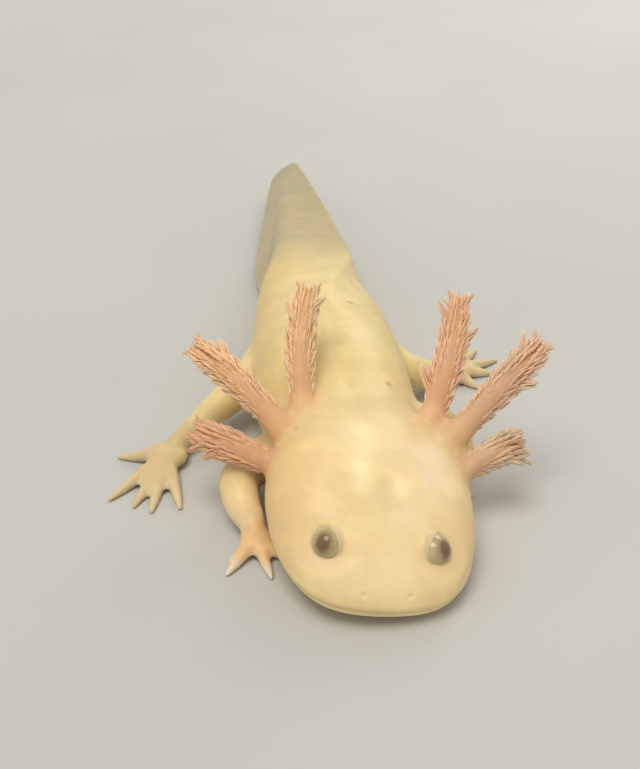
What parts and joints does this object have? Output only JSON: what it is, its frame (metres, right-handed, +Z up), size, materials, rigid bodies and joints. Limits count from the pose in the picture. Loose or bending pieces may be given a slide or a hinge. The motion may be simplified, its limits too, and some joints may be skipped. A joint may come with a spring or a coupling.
{
  "type": "axolotl model",
  "caption": "Life-size still model of a pale, pink-gilled axolotl resting flat on the floor, head raised a little and one hand forward, tail leaning to its left.",
  "frame": {"origin": "on the floor, under the middle of the bounding box", "axes": "+Z up, the animal faces -Y and its left side is towards +X; +Y runs back to the tip of the tail"},
  "size_m": [0.097, 0.2162, 0.0418],
  "materials": {
    "skin": "soft wet gloss, pale yellow with faint freckles",
    "gill": "soft wet gloss, salmon pink",
    "eye": "clear gloss over a dark pupil and a pale ring",
    "fin": "soft gloss, greyer and thinner than the body"
  },
  "bodies": {
    "root": {"back_fin": "fin", "eye_left": "eye", "eye_right": "eye", "fore_left_hand": "skin", "fore_left_lower": "skin", "fore_left_upper": "skin", "fore_right_hand": "skin", "fore_right_lower": "skin", "fore_right_upper": "skin", "gill_left_1": "gill", "gill_left_2": "gill", "gill_left_3": "gill", "gill_right_1": "gill", "gill_right_2": "gill", "gill_right_3": "gill", "head": "skin", "hind_left_foot": "skin", "hind_left_lower": "skin", "hind_left_upper": "skin", "hind_right_foot": "skin", "hind_right_lower": "skin", "hind_right_upper": "skin", "lower_jaw": "skin", "neck": "skin", "tail_base": "skin", "tail_end": "skin", "tail_fin_lower_front": "fin", "tail_fin_lower_rear": "fin", "tail_fin_upper_front": "fin", "tail_fin_upper_rear": "fin", "tail_middle": "skin", "trunk_front": "skin", "trunk_rear": "skin"}
  },
  "joints": []
}
